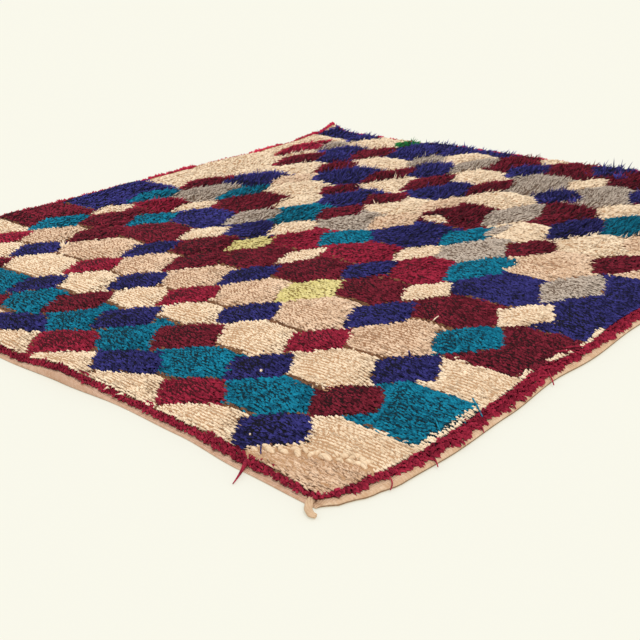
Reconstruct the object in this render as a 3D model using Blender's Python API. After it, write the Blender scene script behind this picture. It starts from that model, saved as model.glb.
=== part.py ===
# Azilal rug: a hand-knotted wool rug that lies flat. Its thick pile rises in a net of lozenges,
# and the locks of its border fall outward over a flat-woven hem. A tassel of warp ends lies at
# the front left corner.
import math
import random
from collections import namedtuple

import bmesh
import bpy
from mathutils import Vector

# The rug is laid out from its front left corner: X along the weft, Y along the warp, in metres.
WIDTH = 1.717
LENGTH = 1.620
PILE = 0.0165
LOZENGE_WIDTH = 0.1555
MOUND = 0.0042
UNEVEN = 0.0011
UNEVEN_WAVES = (0.310, 0.230)
SEED = 7

# Where each row of wide lozenges has its centre along the warp, front to back.
LOZENGE_ROWS = (0.069, 0.290, 0.476, 0.631, 0.791, 0.967, 1.132, 1.304, 1.495)

# Stations between the rims, and the width over which a lifted edge sinks back to the floor.
WIDTH_STEPS = 53
LENGTH_STEPS = 48
LIFT_REACH = 0.120

# Section of a rim, from the outer edge inward: the woven edge, its crown, the foot and the top
# of the first row of knots, and the full pile.
Rim = namedtuple("Rim", "inset height")
HEM_RIM = (
    Rim(0.000, 0.0034),
    Rim(0.003, 0.0066),
    Rim(0.016, 0.0072),
    Rim(0.018, 0.0135),
    Rim(0.036, PILE),
)
SELVEDGE_RIM = (
    Rim(0.000, 0.0016),
    Rim(0.002, 0.0030),
    Rim(0.008, 0.0034),
    Rim(0.010, 0.0095),
    Rim(0.034, PILE),
)
FOOT, SHOULDER = 2, 3

# Course of each edge: how far it is drawn in, how high the cloth is lifted, and how high the
# woven edge itself is, which hangs to the floor along the wave on the left.
Edge = namedtuple("Edge", "station inset lift hang")
FRONT = (
    Edge(0.000, 0.042, 0.000, 0.000),
    Edge(0.030, 0.022, 0.000, 0.000),
    Edge(0.067, 0.007, 0.000, 0.000),
    Edge(0.110, -0.003, 0.000, 0.000),
    Edge(0.214, -0.007, 0.000, 0.000),
    Edge(0.350, -0.001, 0.000, 0.000),
    Edge(0.500, 0.012, 0.000, 0.000),
    Edge(0.590, 0.007, 0.000, 0.000),
    Edge(0.760, 0.018, 0.000, 0.000),
    Edge(1.050, 0.004, 0.000, 0.000),
    Edge(1.400, 0.010, 0.000, 0.000),
    Edge(WIDTH, 0.016, 0.000, 0.000),
)
LEFT = (
    Edge(0.000, -0.012, 0.000, 0.000),
    Edge(0.150, -0.007, 0.000, 0.000),
    Edge(0.300, 0.005, 0.000, 0.000),
    Edge(0.450, 0.009, 0.000, 0.000),
    Edge(0.600, 0.001, 0.011, 0.000),
    Edge(0.760, -0.006, 0.000, 0.000),
    Edge(1.100, 0.002, 0.000, 0.000),
    Edge(1.400, -0.004, 0.000, 0.000),
    Edge(LENGTH, 0.006, 0.000, 0.000),
)
BACK = (
    Edge(0.000, 0.010, 0.000, 0.000),
    Edge(0.470, -0.006, 0.000, 0.000),
    Edge(0.700, 0.003, 0.000, 0.000),
    Edge(0.840, -0.002, 0.000, 0.000),
    Edge(0.950, 0.011, 0.000, 0.000),
    Edge(1.180, 0.000, 0.000, 0.000),
    Edge(1.320, 0.016, 0.000, 0.000),
    Edge(1.480, 0.010, 0.000, 0.000),
    Edge(1.620, 0.002, 0.006, 0.006),
    Edge(WIDTH, -0.004, 0.026, 0.026),
)
RIGHT = (
    Edge(0.000, 0.012, 0.000, 0.000),
    Edge(0.400, 0.002, 0.000, 0.000),
    Edge(0.740, 0.010, 0.000, 0.000),
    Edge(0.950, 0.004, 0.000, 0.000),
    Edge(1.110, -0.002, 0.000, 0.000),
    Edge(1.280, 0.018, 0.000, 0.000),
    Edge(1.440, 0.008, 0.000, 0.000),
    Edge(1.530, 0.016, 0.004, 0.004),
    Edge(LENGTH, 0.010, 0.026, 0.026),
)

# Locks of the border pile: how far they reach out, how much they droop, how far they lean, and
# what is left of their width and height at the tip. Every so many faces of the rim carry two.
Locks = namedtuple("Locks", "reach droop lean width height every")
HEM_LOCKS = Locks(0.0115, 0.0010, 0.0030, 0.45, 0.50, 1)
SELVEDGE_LOCKS = Locks(0.0050, 0.0008, 0.0040, 0.40, 0.50, 3)

# One lock that has slipped over the left selvedge to the floor, as steps out from its root.
Step = namedtuple("Step", "reach sideways centre width height")
LOOSE_LOCK_AT = 0.190
LOOSE_LOCK = (
    Step(0.010, -0.001, 0.0060, 0.0060, 0.0036),
    Step(0.022, -0.006, 0.0030, 0.0050, 0.0040),
    Step(0.038, -0.016, 0.0016, 0.0020, 0.0024),
)

# The corner tassel: a woven head and its warp ends, which lie level on the floor.
TASSEL_HEADING = math.radians(226)
TASSEL_HEAD = (0.0050, 0.0100, 0.0054)
TASSEL_ENDS = 4
TASSEL_GAP = 0.0003
TASSEL_ROUNDING = 14.0
End = namedtuple("End", "reach spread bend thick")
TASSEL_STEPS = (
    End(0.006, 1.06, 0.0000, 0.96),
    End(0.012, 1.06, 0.0008, 0.94),
    End(0.018, 0.96, 0.0028, 0.80),
    End(0.023, 0.76, 0.0054, 0.52),
)

WOOL = (0.62, 0.47, 0.34, 1.0)
WARP = (0.72, 0.56, 0.40, 1.0)


def clear_scene():
    for item in list(bpy.data.objects):
        bpy.data.objects.remove(item, do_unlink=True)


def make_material(name, color, roughness):
    material = bpy.data.materials.new(name)
    material.use_nodes = True
    shader = material.node_tree.nodes["Principled BSDF"]
    shader.inputs["Base Color"].default_value = color
    shader.inputs["Roughness"].default_value = roughness
    shader.inputs["Metallic"].default_value = 0.0
    return material


def add_object(name, shape, material, collection):
    mesh = bpy.data.meshes.new(name)
    shape.to_mesh(mesh)
    shape.free()
    mesh.materials.append(material)
    item = bpy.data.objects.new(name, mesh)
    collection.objects.link(item)
    return item


def ease(share):
    share = min(1.0, max(0.0, share))
    return share * share * (3.0 - 2.0 * share)


def along(table, station, column):
    """The column's value at a station of an edge, eased from row to row."""
    for before, after in zip(table, table[1:]):
        if station <= after.station:
            share = ease((station - before.station) / (after.station - before.station))
            start = getattr(before, column)
            return start + (getattr(after, column) - start) * share
    return getattr(table[-1], column)


def rim_height(rim, inset):
    """Height of a rim's section at a distance in from its edge."""
    for before, after in zip(rim, rim[1:]):
        if inset <= after.inset:
            share = (inset - before.inset) / (after.inset - before.inset)
            return before.height + (after.height - before.height) * share
    return rim[-1].height


def stations(rim, size, steps):
    """Distances across the rug: a rim's rows, even steps, and the far rim's rows."""
    inner = rim[-1].inset
    near = [row.inset for row in rim]
    even = [inner + (size - 2 * inner) * step / steps for step in range(1, steps)]
    far = [size - row.inset for row in reversed(rim)]
    return near + even + far


def row_phase(y):
    """Whole numbers fall on the centres of the rows of wide lozenges."""
    rows = LOZENGE_ROWS
    for count, (before, after) in enumerate(zip(rows, rows[1:])):
        if y <= after or after == rows[-1]:
            return count + (y - before) / (after - before)
    return 0.0


def lozenge(x, y):
    """Full at the middle of each lozenge and nothing along the lines between them."""
    across = math.cos(2 * math.pi * x / LOZENGE_WIDTH)
    down = math.cos(2 * math.pi * row_phase(y))
    return min(1.0, 1.6 * abs(0.5 * (across + down) + 0.12))


def unevenness(x, y):
    long_wave, short_wave = UNEVEN_WAVES
    slow = math.sin(2 * math.pi * (x + 0.6 * y) / long_wave)
    quick = math.sin(2 * math.pi * (y - 0.7 * x) / short_wave + 1.0)
    return UNEVEN * (slow + quick)


def lift(x, y, column="lift"):
    """How high the underside is at a place on the rug."""
    edges = (
        (along(FRONT, x, column), y),
        (along(LEFT, y, column), x),
        (along(BACK, x, column), LENGTH - y),
        (along(RIGHT, y, column), WIDTH - x),
    )
    return max(height * ease(1.0 - inset / LIFT_REACH) for height, inset in edges)


def plan(x, y):
    """Where a place on the even rug lies once its edges take their own course."""
    left = along(LEFT, y, "inset")
    right = along(RIGHT, y, "inset")
    front = along(FRONT, x, "inset")
    back = along(BACK, x, "inset")
    return (
        left + x * (WIDTH - left - right) / WIDTH,
        front + y * (LENGTH - front - back) / LENGTH,
    )


def pile_height(x, y):
    side = min(x, WIDTH - x)
    end = min(y, LENGTH - y)
    rim = min(rim_height(SELVEDGE_RIM, side), rim_height(HEM_RIM, end))
    share = ease((side - SELVEDGE_RIM[SHOULDER].inset) / SELVEDGE_RIM[-1].inset)
    share *= ease((end - HEM_RIM[SHOULDER].inset) / HEM_RIM[-1].inset)
    return rim + share * (MOUND * lozenge(x, y) - 0.5 * MOUND + unevenness(x, y))


def split_face(face, direction):
    """Halve a four-sided face across its two edges that run in a direction."""
    middles = []
    for edge in list(face.edges):
        run = (edge.verts[1].co - edge.verts[0].co).normalized()
        if abs(run.dot(direction)) > 0.8:
            middles.append(bmesh.utils.edge_split(edge, edge.verts[0], 0.5)[1])
    other, _ = bmesh.utils.face_split(face, middles[0], middles[1])
    return (face, other)


def draw_out(shape, face, move, direction, width, height):
    """Extrude one face, then taper it along a direction and in height."""
    made = bmesh.ops.extrude_discrete_faces(shape, faces=[face])["faces"][0]
    middle = made.calc_center_median()
    for vert in made.verts:
        offset = vert.co - middle
        sideways = offset.dot(direction) * direction
        upward = Vector((0.0, 0.0, offset.z))
        vert.co = middle + move + sideways * width + upward * height
    return made


def add_locks(shape, faces, outward, locks, chance):
    direction = Vector((abs(outward.y), abs(outward.x), 0.0))
    for face in faces[:: locks.every]:
        for half in split_face(face, direction):
            reach = locks.reach * chance.uniform(0.70, 1.15)
            lean = locks.lean * chance.uniform(-1.0, 1.0)
            droop = locks.droop * chance.uniform(0.5, 1.0)
            move = outward * reach + direction * lean - Vector((0.0, 0.0, droop))
            draw_out(shape, half, move, direction, locks.width, locks.height)


def add_loose_lock(shape, face, outward):
    direction = Vector((0.0, 1.0, 0.0))
    half = split_face(face, direction)[0]
    root = half.calc_center_median()
    for step in LOOSE_LOCK:
        half = bmesh.ops.extrude_discrete_faces(shape, faces=[half])["faces"][0]
        middle = half.calc_center_median()
        width = max(v.co.y for v in half.verts) - min(v.co.y for v in half.verts)
        height = max(v.co.z for v in half.verts) - min(v.co.z for v in half.verts)
        for vert in half.verts:
            offset = vert.co - middle
            vert.co = Vector(
                (
                    root.x + outward.x * step.reach,
                    root.y + step.sideways + offset.y * step.width / width,
                    step.centre + offset.z * step.height / height,
                )
            )


def build_rug(material, collection):
    columns = stations(SELVEDGE_RIM, WIDTH, WIDTH_STEPS)
    rows = stations(HEM_RIM, LENGTH, LENGTH_STEPS)
    last_column, last_row = len(columns) - 1, len(rows) - 1
    shape = bmesh.new()
    bmesh.ops.create_grid(shape, x_segments=last_column, y_segments=last_row, size=1.0)
    under = {}
    for vert in shape.verts:
        column = round((vert.co.x + 1.0) / 2.0 * last_column)
        row = round((vert.co.y + 1.0) / 2.0 * last_row)
        under[(column, row)] = vert
    places = {tuple(vert.co): place for place, vert in under.items()}
    raised = bmesh.ops.extrude_face_region(shape, geom=shape.faces[:], use_keep_orig=True)["geom"]
    upper = {places[tuple(i.co)]: i for i in raised if isinstance(i, bmesh.types.BMVert)}

    for (column, row), vert in under.items():
        x, y = columns[column], rows[row]
        at_edge = column in (0, last_column) or row in (0, last_row)
        height = lift(x, y, "hang" if at_edge else "lift")
        vert.co = Vector((*plan(x, y), height))
        top = pile_height(x, y) + height
        upper[(column, row)].co = Vector((*plan(x, y), top))
    bmesh.ops.recalc_face_normals(shape, faces=shape.faces[:])

    def rim_faces(side):
        """Faces of the first row of knots along one edge, in order, clear of the corners."""
        found = []
        count = last_row if side in ("left", "right") else last_column
        for place in range(SHOULDER + 1, count - SHOULDER - 1):
            corners = {
                "front": ((place, FOOT), (place + 1, SHOULDER)),
                "back": ((place, last_row - FOOT), (place + 1, last_row - SHOULDER)),
                "left": ((FOOT, place), (SHOULDER, place + 1)),
                "right": ((last_column - FOOT, place), (last_column - SHOULDER, place + 1)),
            }[side]
            shared = set(upper[corners[0]].link_faces) & set(upper[corners[1]].link_faces)
            found.append(shared.pop())
        return found

    fronts, backs = rim_faces("front"), rim_faces("back")
    lefts, rights = rim_faces("left"), rim_faces("right")
    flat = [face for face in shape.faces if all(vert.co.z == 0.0 for vert in face.verts)]
    bmesh.ops.dissolve_faces(shape, faces=flat, use_verts=False)

    chance = random.Random(SEED)
    add_locks(shape, fronts, Vector((0.0, -1.0, 0.0)), HEM_LOCKS, chance)
    add_locks(shape, backs, Vector((0.0, 1.0, 0.0)), HEM_LOCKS, chance)
    add_locks(shape, rights, Vector((1.0, 0.0, 0.0)), SELVEDGE_LOCKS, chance)
    nearest = min(lefts, key=lambda face: abs(face.calc_center_median().y - LOOSE_LOCK_AT))
    add_loose_lock(shape, nearest, Vector((-1.0, 0.0, 0.0)))
    lefts.remove(nearest)
    add_locks(shape, lefts, Vector((-1.0, 0.0, 0.0)), SELVEDGE_LOCKS, chance)
    return add_object("rug", shape, material, collection)


def build_tassel(material, collection):
    """The head is a small block, and each quarter of its outer face is drawn out as an end."""
    shape = bmesh.new()
    bmesh.ops.create_cube(shape, size=1.0)
    deep, wide, tall = TASSEL_HEAD
    for vert in shape.verts:
        vert.co = Vector(((vert.co.x + 0.5) * deep, vert.co.y * wide, (vert.co.z + 0.5) * tall))
    outer = max(shape.faces, key=lambda face: face.calc_center_median().x)
    crossing = [edge for edge in outer.edges if abs(edge.verts[0].co.z - edge.verts[1].co.z) < 1e-6]
    bmesh.ops.subdivide_edges(shape, edges=crossing, cuts=TASSEL_ENDS - 1, use_grid_fill=True)
    roots = [
        face
        for face in shape.faces
        if len(face.verts) == 4 and all(abs(vert.co.x - deep) < 1e-6 for vert in face.verts)
    ]
    bmesh.ops.inset_individual(shape, faces=roots, thickness=0.0002)
    for face in roots:
        root = face.calc_center_median()
        side = [(vert.co - root) for vert in face.verts]
        rise = max(offset.z for offset in side)
        for step in TASSEL_STEPS:
            made = bmesh.ops.extrude_discrete_faces(shape, faces=[face])["faces"][0]
            for vert, offset in zip(made.verts, side):
                vert.co = Vector(
                    (
                        deep + step.reach * (1.0 - TASSEL_ROUNDING * abs(root.y)),
                        root.y * step.spread + step.bend + offset.y * step.thick,
                        (rise + offset.z) * step.thick,
                    )
                )
            face = made
    bmesh.ops.recalc_face_normals(shape, faces=shape.faces[:])

    tassel = add_object("corner_tassel", shape, material, collection)
    corner = Vector((*plan(0.0, 0.0), 0.0))
    outward = Vector((math.cos(TASSEL_HEADING), math.sin(TASSEL_HEADING), 0.0))
    tassel.location = corner + outward * TASSEL_GAP
    tassel.rotation_euler = (0.0, 0.0, TASSEL_HEADING)
    return tassel


def centre_on_floor(items):
    """Move the pieces together, so that the middle of their box is over the origin."""
    bpy.context.view_layer.update()
    corners = [item.matrix_world @ vert.co for item in items for vert in item.data.vertices]
    middle_x = (min(c.x for c in corners) + max(c.x for c in corners)) / 2.0
    middle_y = (min(c.y for c in corners) + max(c.y for c in corners)) / 2.0
    for item in items:
        item.location -= Vector((middle_x, middle_y, 0.0))


def main():
    clear_scene()
    collection = bpy.data.collections.new("azilal_rug")
    bpy.context.scene.collection.children.link(collection)
    rug = build_rug(make_material("rug_wool", WOOL, 0.95), collection)
    tassel = build_tassel(make_material("warp_wool", WARP, 0.9), collection)
    centre_on_floor([rug, tassel])


main()
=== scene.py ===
# Azilal rug: thick knotted wool in a net of lozenges, with a crimson border, a woven hem at each
# end, a thin selvedge at each side and a tassel of warps at the front corner
import bpy
import math
import numpy as np
from mathutils import Euler, Matrix, Vector


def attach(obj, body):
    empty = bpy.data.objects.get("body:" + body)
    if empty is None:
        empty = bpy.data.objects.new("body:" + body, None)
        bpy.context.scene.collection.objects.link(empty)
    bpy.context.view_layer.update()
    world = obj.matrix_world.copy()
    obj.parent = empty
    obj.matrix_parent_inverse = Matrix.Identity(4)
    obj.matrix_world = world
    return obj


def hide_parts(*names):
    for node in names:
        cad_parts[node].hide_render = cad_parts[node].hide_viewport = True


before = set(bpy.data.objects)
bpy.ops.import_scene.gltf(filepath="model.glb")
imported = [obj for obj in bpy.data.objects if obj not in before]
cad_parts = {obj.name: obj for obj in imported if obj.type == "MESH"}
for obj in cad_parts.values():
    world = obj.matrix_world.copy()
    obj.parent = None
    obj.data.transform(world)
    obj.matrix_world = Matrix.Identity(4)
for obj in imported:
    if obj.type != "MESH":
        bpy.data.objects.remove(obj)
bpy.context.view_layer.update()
bpy.ops.object.select_all(action="DESELECT")
dice = np.random.default_rng(11)


# helpers for colours and shader nodes

def wool(red, green, blue, alpha=1.0):
    # a screen colour from 0 to 255, as the shader wants it
    channels = np.array([red, green, blue]) / 255
    linear = np.where(channels < 0.04045, channels / 12.92, ((channels + 0.055) / 1.055) ** 2.4)
    return (*linear.tolist(), alpha)


class Wire:
    # wraps one shader socket, so that the maths can be written as a sum
    def __init__(self, tree, socket):
        self.tree = tree
        self.socket = socket

    def maths(self, operation, first, second):
        return makeNode(self.tree, "ShaderNodeMath", {"operation": operation}, {0: first, 1: second})

    def __add__(self, other):
        return self.maths("ADD", self, other)

    def __radd__(self, other):
        return self.maths("ADD", other, self)

    def __sub__(self, other):
        return self.maths("SUBTRACT", self, other)

    def __rsub__(self, other):
        return self.maths("SUBTRACT", other, self)

    def __mul__(self, other):
        return self.maths("MULTIPLY", self, other)

    def __rmul__(self, other):
        return self.maths("MULTIPLY", other, self)


def feed(tree, node, values):
    # sets or links the node's sockets
    for name, value in values.items():
        if isinstance(value, Wire):
            tree.links.new(value.socket, node.inputs[name])
        else:
            node.inputs[name].default_value = value


def makeNode(tree, kind, settings=None, links=None, out=0):
    node = tree.nodes.new(kind)
    for name, value in (settings or {}).items():
        setattr(node, name, value)
    feed(tree, node, links or {})
    return Wire(tree, node.outputs[out])


def mixColour(tree, share, first, second, blend="MIX"):
    settings = {"data_type": "RGBA", "blend_type": blend, "clamp_factor": True}
    return makeNode(tree, "ShaderNodeMix", settings, {0: share, 6: first, 7: second}, out=2)


def noise(tree, spot, scale, detail):
    sockets = {"Vector": spot, "Scale": scale, "Detail": detail}
    return makeNode(tree, "ShaderNodeTexNoise", None, sockets)


def stretched(tree, spot, scale):
    return makeNode(tree, "ShaderNodeMapping", None, {"Vector": spot, "Scale": scale})


def weighed(parts, weights):
    # the sum of the parts, each by its weight
    total, *others = (part * weight for part, weight in zip(parts, weights))
    for other in others:
        total = total + other
    return total


def ramp(tree, value, start, stop, most=1.0):
    # rises from 0 at start to the most at stop, and stays level beyond them
    sockets = {"Value": value, 1: start, 2: stop, 3: 0.0, 4: most}
    return makeNode(tree, "ShaderNodeMapRange", {"clamp": True}, sockets)


def newMaterial(name, roughness=0.95, specular=0.12):
    # as matt as wool, unless told otherwise
    material = bpy.data.materials.new(name)
    material.use_nodes = True
    tree = material.node_tree
    shader = tree.nodes["Principled BSDF"]
    feed(tree, shader, {"Roughness": roughness, "Specular IOR Level": specular})
    return material, tree, shader


def paint(tree, shader, colour, height, strength, distance):
    # links the colour, and the height as a bump
    sockets = {"Strength": strength, "Distance": distance, "Height": height}
    bump = makeNode(tree, "ShaderNodeBump", None, sockets)
    feed(tree, shader, {"Base Color": colour, "Normal": bump})


def setFloats(mesh, name, values):
    # one number for every point of the mesh, for the shaders to read
    layer = mesh.attributes.new(name, "FLOAT", "POINT")
    layer.data.foreach_set("value", values.astype(np.float32))


def readMesh(items, name, width=1, kind=np.float32):
    values = np.empty(len(items) * width, kind)
    items.foreach_get(name, values)
    return values.reshape(-1, width) if width > 1 else values


# the loom: x runs along the weft from the front left corner and y along the warp, in metres

loom = {
    "width": 1.717,
    "length": 1.620,
    "origin": (-0.84157, -0.80952),  # where that corner lies in the frame
    "pile": 0.0165,
    "mound": 0.0054,
    "moundBase": 0.45,  # where on a mound the pile has its usual height
    "uneven": 0.0011,
    "unevenWaves": (0.26, 8),  # here and below, waves are given as their length and their seed
    "dipAt": (-0.005, 0.045),
    "cornerDip": 0.0050,  # how much lower the pile is at the front left corner
    "dipReach": 0.110,
    "liftReach": 0.120,
}


def edgeTable(entries):
    # fills in the nothings that are left out, and turns millimetres into metres
    return np.array([(*entry, 0, 0)[:4] for entry in entries]) / 1000


# each edge, in millimetres: station, how far it is drawn in, and then, where they are more than
# nothing, how high the cloth lifts there and how high its woven edge does
frontEdge = edgeTable([
    (0, 42), (30, 22), (67, 7), (110, -3), (214, -7), (350, -1), (500, 12), (590, 7), (760, 18),
    (1050, 4), (1400, 10), (1717, 16),
])
leftEdge = edgeTable([
    (0, -12), (150, -7), (300, 5), (450, 9), (600, 1, 11), (760, -6), (1100, 2), (1400, -4), (1620, 6),
])
backEdge = edgeTable([
    (0, 10), (470, -6), (700, 3), (840, -2), (950, 11), (1180, 0), (1320, 16), (1480, 10),
    (1620, 2, 6, 6), (1717, -4, 26, 26),
])
rightEdge = edgeTable([
    (0, 12), (400, 2), (740, 10), (950, 4), (1110, -2), (1280, 18), (1440, 8), (1530, 16, 4, 4),
    (1620, 10, 26, 26),
])


def ease(share):
    share = np.clip(share, 0.0, 1.0)
    return share * share * (3.0 - 2.0 * share)


def along(edge, station, column):
    # the edge's value at a station, eased from one entry to the next
    stations = edge[:, 0]
    entry = np.clip(np.searchsorted(stations, station, side="right") - 1, 0, len(edge) - 2)
    share = ease((station - stations[entry]) / (stations[entry + 1] - stations[entry]))
    return edge[entry, column] + (edge[entry + 1, column] - edge[entry, column]) * share


def lift(x, y, column=2):
    # how high the underside is
    edges = (
        (along(frontEdge, x, column), y),
        (along(leftEdge, y, column), x),
        (along(backEdge, x, column), loom["length"] - y),
        (along(rightEdge, y, column), loom["width"] - x),
    )
    highest = np.zeros_like(x)
    for height, inset in edges:
        highest = np.maximum(highest, height * ease(1.0 - inset / loom["liftReach"]))
    return highest


def fromEdges(x, y):
    # how far each place lies from the nearer side and from the nearer end
    return np.minimum(x, loom["width"] - x), np.minimum(y, loom["length"] - y)


def layOut(x, y):
    # where a place on the even loom lies once the edges take their own course
    left, right = along(leftEdge, y, 1), along(rightEdge, y, 1)
    front, back = along(frontEdge, x, 1), along(backEdge, x, 1)
    acrossAt = left + x * (loom["width"] - left - right) / loom["width"]
    upAt = front + y * (loom["length"] - front - back) / loom["length"]
    return acrossAt, upAt


waveShape = {
    "lengths": (0.6, 1.6),  # the shortest and the longest, as shares of the length asked for
    "height": 1.3,
}


def waves(x, y, length, seed, count=7):
    # soft uneven waves, mostly between -1 and 1: a set of sines at chance headings
    turns = np.random.default_rng(seed)
    total = np.zeros_like(x)
    for _ in range(count):
        heading, phase = turns.uniform(0, 2 * math.pi, 2)
        pitch = length * turns.uniform(*waveShape["lengths"])
        total += np.sin(2 * math.pi * (x * math.cos(heading) + y * math.sin(heading)) / pitch + phase)
    return total / math.sqrt(count) / waveShape["height"]


def chance(count, spread, least, most):
    # factors around 1, with the far ones held back
    return dice.normal(1.0, spread, count).clip(least, most)


# the net: rows of lozenges along the weft, with wide hexagons between them

woolNames = ["cream", "tan", "teal", "navy", "maroon", "crimson", "grey", "lime", "green", "rust"]

net = {
    "roundness": 1.12,  # 1 is a straight-sided lozenge and 2 an oval
    "fullness": 1.06,  # how much taller a lozenge is than the table of half heights says
    "raggedness": 0.0022,
    "raggedWaves": [(0.030, 3), (0.030, 4)],
    "slant": 0.008,  # how far each lozenge's right end lies nearer the front, and its left end farther
    "overlap": 0.003,
    # the ends where neighbouring lozenges meet, row by row from the front, all in millimetres
    "ends": np.array([
        (17, 146, 283, 427, 587, 724, 918, 1066, 1253, 1421, 1596, 1750),
        (36, 151, 289, 426, 593, 714, 908, 1050, 1256, 1404, 1590, 1750),
        (39, 160, 305, 445, 607, 759, 890, 1060, 1290, 1430, 1585, 1760),
        (21, 149, 297, 442, 602, 743, 896, 1063, 1253, 1450, 1638, 1737),
        (43, 138, 296, 432, 600, 735, 885, 1046, 1199, 1418, 1636, 1737),
        (24, 160, 299, 434, 593, 733, 909, 1060, 1199, 1421, 1582, 1737),
        (24, 145, 295, 434, 595, 737, 877, 1060, 1226, 1394, 1602, 1703),
        (24, 152, 286, 435, 600, 729, 888, 1065, 1226, 1430, 1582, 1737),
    ]) / 1000,
    # the middle of each lozenge along the warp
    "middles": np.array([
        (216, 196, 196, 189, 174, 183, 182, 196, 196, 196, 196),
        (406, 390, 390, 383, 390, 391, 376, 373, 366, 370, 370),
        (578, 587, 581, 574, 562, 550, 538, 547, 547, 550, 566),
        (740, 746, 743, 740, 740, 751, 744, 738, 735, 751, 751),
        (891, 894, 897, 896, 894, 900, 898, 891, 900, 910, 914),
        (1052, 1053, 1056, 1049, 1043, 1050, 1056, 1050, 1037, 1059, 1050),
        (1260, 1263, 1263, 1250, 1243, 1247, 1244, 1233, 1230, 1254, 1250),
        (1415, 1415, 1408, 1415, 1401, 1419, 1413, 1408, 1393, 1435, 1432),
    ]) / 1000,
    # and half its height
    "halfHeights": np.array([
        (60, 60, 56, 58, 51, 56, 58, 56, 56, 56, 56),
        (66, 56, 53, 58, 45, 51, 54, 57, 54, 52, 48),
        (73, 70, 54, 54, 45, 42, 47, 56, 62, 44, 62),
        (73, 60, 51, 45, 34, 60, 51, 42, 46, 50, 44),
        (73, 56, 55, 52, 40, 47, 50, 50, 50, 47, 44),
        (50, 48, 52, 47, 43, 53, 47, 49, 47, 43, 47),
        (54, 53, 52, 56, 53, 38, 45, 47, 50, 50, 41),
        (46, 45, 47, 57, 38, 50, 50, 43, 55, 46, 53),
    ]) / 1000,
    # where the hexagons of each row meet side by side
    "sides": np.array([
        (-144, 170, 323, 430, 612, 931, 1078, 1253, 1421, 1596, 1750),
        (96, 224, 364, 530, 674, 830, 1008, 1150, 1312, 1500, 1669),
        (107, 239, 369, 534, 666, 823, 1003, 1143, 1320, 1524, 1669),
        (96, 263, 373, 541, 696, 834, 1013, 1197, 1334, 1531, 1669),
        (94, 252, 367, 532, 695, 847, 1009, 1168, 1356, 1493, 1656),
        (109, 242, 367, 523, 682, 810, 997, 1171, 1334, 1508, 1645),
        (98, 243, 371, 531, 675, 817, 1003, 1158, 1352, 1473, 1656),
        (98, 239, 373, 530, 711, 827, 1006, 1178, 1327, 1537, 1669),
        (125, 286, 447, 631, 901, 1065, 1321, 1600, 1750, 1871, 2005),
    ]) / 1000,
    "lozengeWools": [
        "navy maroon navy teal cream grey maroon tan navy cream maroon",
        "crimson navy crimson navy cream teal maroon navy cream navy maroon",
        "navy maroon navy lime navy cream teal grey navy cream navy",
        "crimson navy crimson navy cream teal tan tan maroon navy cream",
        "navy maroon navy maroon lime cream maroon maroon maroon grey navy",
        "maroon navy crimson navy cream grey cream maroon maroon grey navy",
        "navy maroon navy maroon teal cream teal tan maroon maroon green",
        "crimson navy crimson teal cream teal maroon cream maroon grey navy",
    ],
    "hexagonWools": [
        "cream cream teal cream maroon navy tan cream teal maroon cream navy",
        "cream teal cream tan maroon navy tan cream teal maroon cream navy",
        "cream teal cream tan maroon crimson grey cream maroon grey maroon navy",
        "cream teal cream tan maroon crimson navy maroon cream grey maroon maroon",
        "cream teal cream tan maroon crimson grey cream navy cream maroon maroon",
        "cream teal cream tan maroon navy teal navy cream navy cream navy",
        "cream teal cream tan maroon navy maroon cream navy cream navy navy",
        "cream teal cream tan maroon crimson grey navy cream navy cream cream",
        "cream teal cream maroon navy cream cream cream navy navy navy navy",
    ],
    # cells are numbered row by row, those of the lozenges from their own first number
    "cellsInRow": 20,
    "firstLozenge": 400,
    # slivers of another wool: middle, half width, half height, slant and wool, in metres
    "sliverRoundness": 1.3,
    "slivers": [
        (1.041, 0.675, 0.020, 0.050, 0.25, "cream"),
        (0.865, 0.362, 0.042, 0.022, 0.00, "teal"),
        (1.050, 0.506, 0.050, 0.020, 0.00, "grey"),
        (1.445, 1.612, 0.140, 0.038, 0.00, "cream"),
        (1.440, 1.487, 0.130, 0.046, 0.00, "crimson"),
        (1.690, 1.605, 0.080, 0.036, 0.00, "cream"),
    ],
}


def indexRows(rows):
    return np.array([[woolNames.index(name) for name in row.split()] for row in rows])


lozengeWools = indexRows(net["lozengeWools"])
hexagonWools = indexRows(net["hexagonWools"])


def cellsAt(x, y):
    # the wool and the number of the cell at each place of the laid rug
    alongX, alongY = net["raggedWaves"]
    x = x + net["raggedness"] * waves(x, y, *alongX)
    y = y + net["raggedness"] * waves(x, y, *alongY)
    above = np.zeros(x.shape, int)
    for ends, middles in zip(net["ends"], net["middles"]):
        centres = 0.5 * (ends[1:] + ends[:-1])
        above += y > np.interp(x, centres, middles)
    column = np.zeros(x.shape, int)
    for row, sides in enumerate(net["sides"]):
        here = above == row
        column[here] = np.searchsorted(sides, x[here])
    wools = hexagonWools[above, column]
    cells = above * net["cellsInRow"] + column
    for row in range(len(net["ends"])):
        ends, middles, halves = net["ends"][row], net["middles"][row], net["halfHeights"][row]
        for spot in range(len(middles)):
            reach = 0.5 * (ends[spot + 1] - ends[spot]) + net["overlap"]
            across = (x - 0.5 * (ends[spot] + ends[spot + 1])) / reach
            up = np.abs(y - middles[spot] + net["slant"] * across) / (net["fullness"] * halves[spot])
            inside = np.abs(across) ** net["roundness"] + up ** net["roundness"] < 1.0
            wools[inside] = lozengeWools[row, spot]
            cells[inside] = net["firstLozenge"] + row * net["cellsInRow"] + spot
    for middleX, middleY, halfX, halfY, slant, name in net["slivers"]:
        up = (y - middleY) / halfY
        across = (x - middleX - slant * (y - middleY)) / halfX
        power = net["sliverRoundness"]
        inside = np.abs(across) ** power + np.abs(up) ** power < 1.0
        wools[inside] = woolNames.index(name)
    return wools, cells


# the mounds: the pile is highest at the middle of each cell and lowest along its outline

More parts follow.
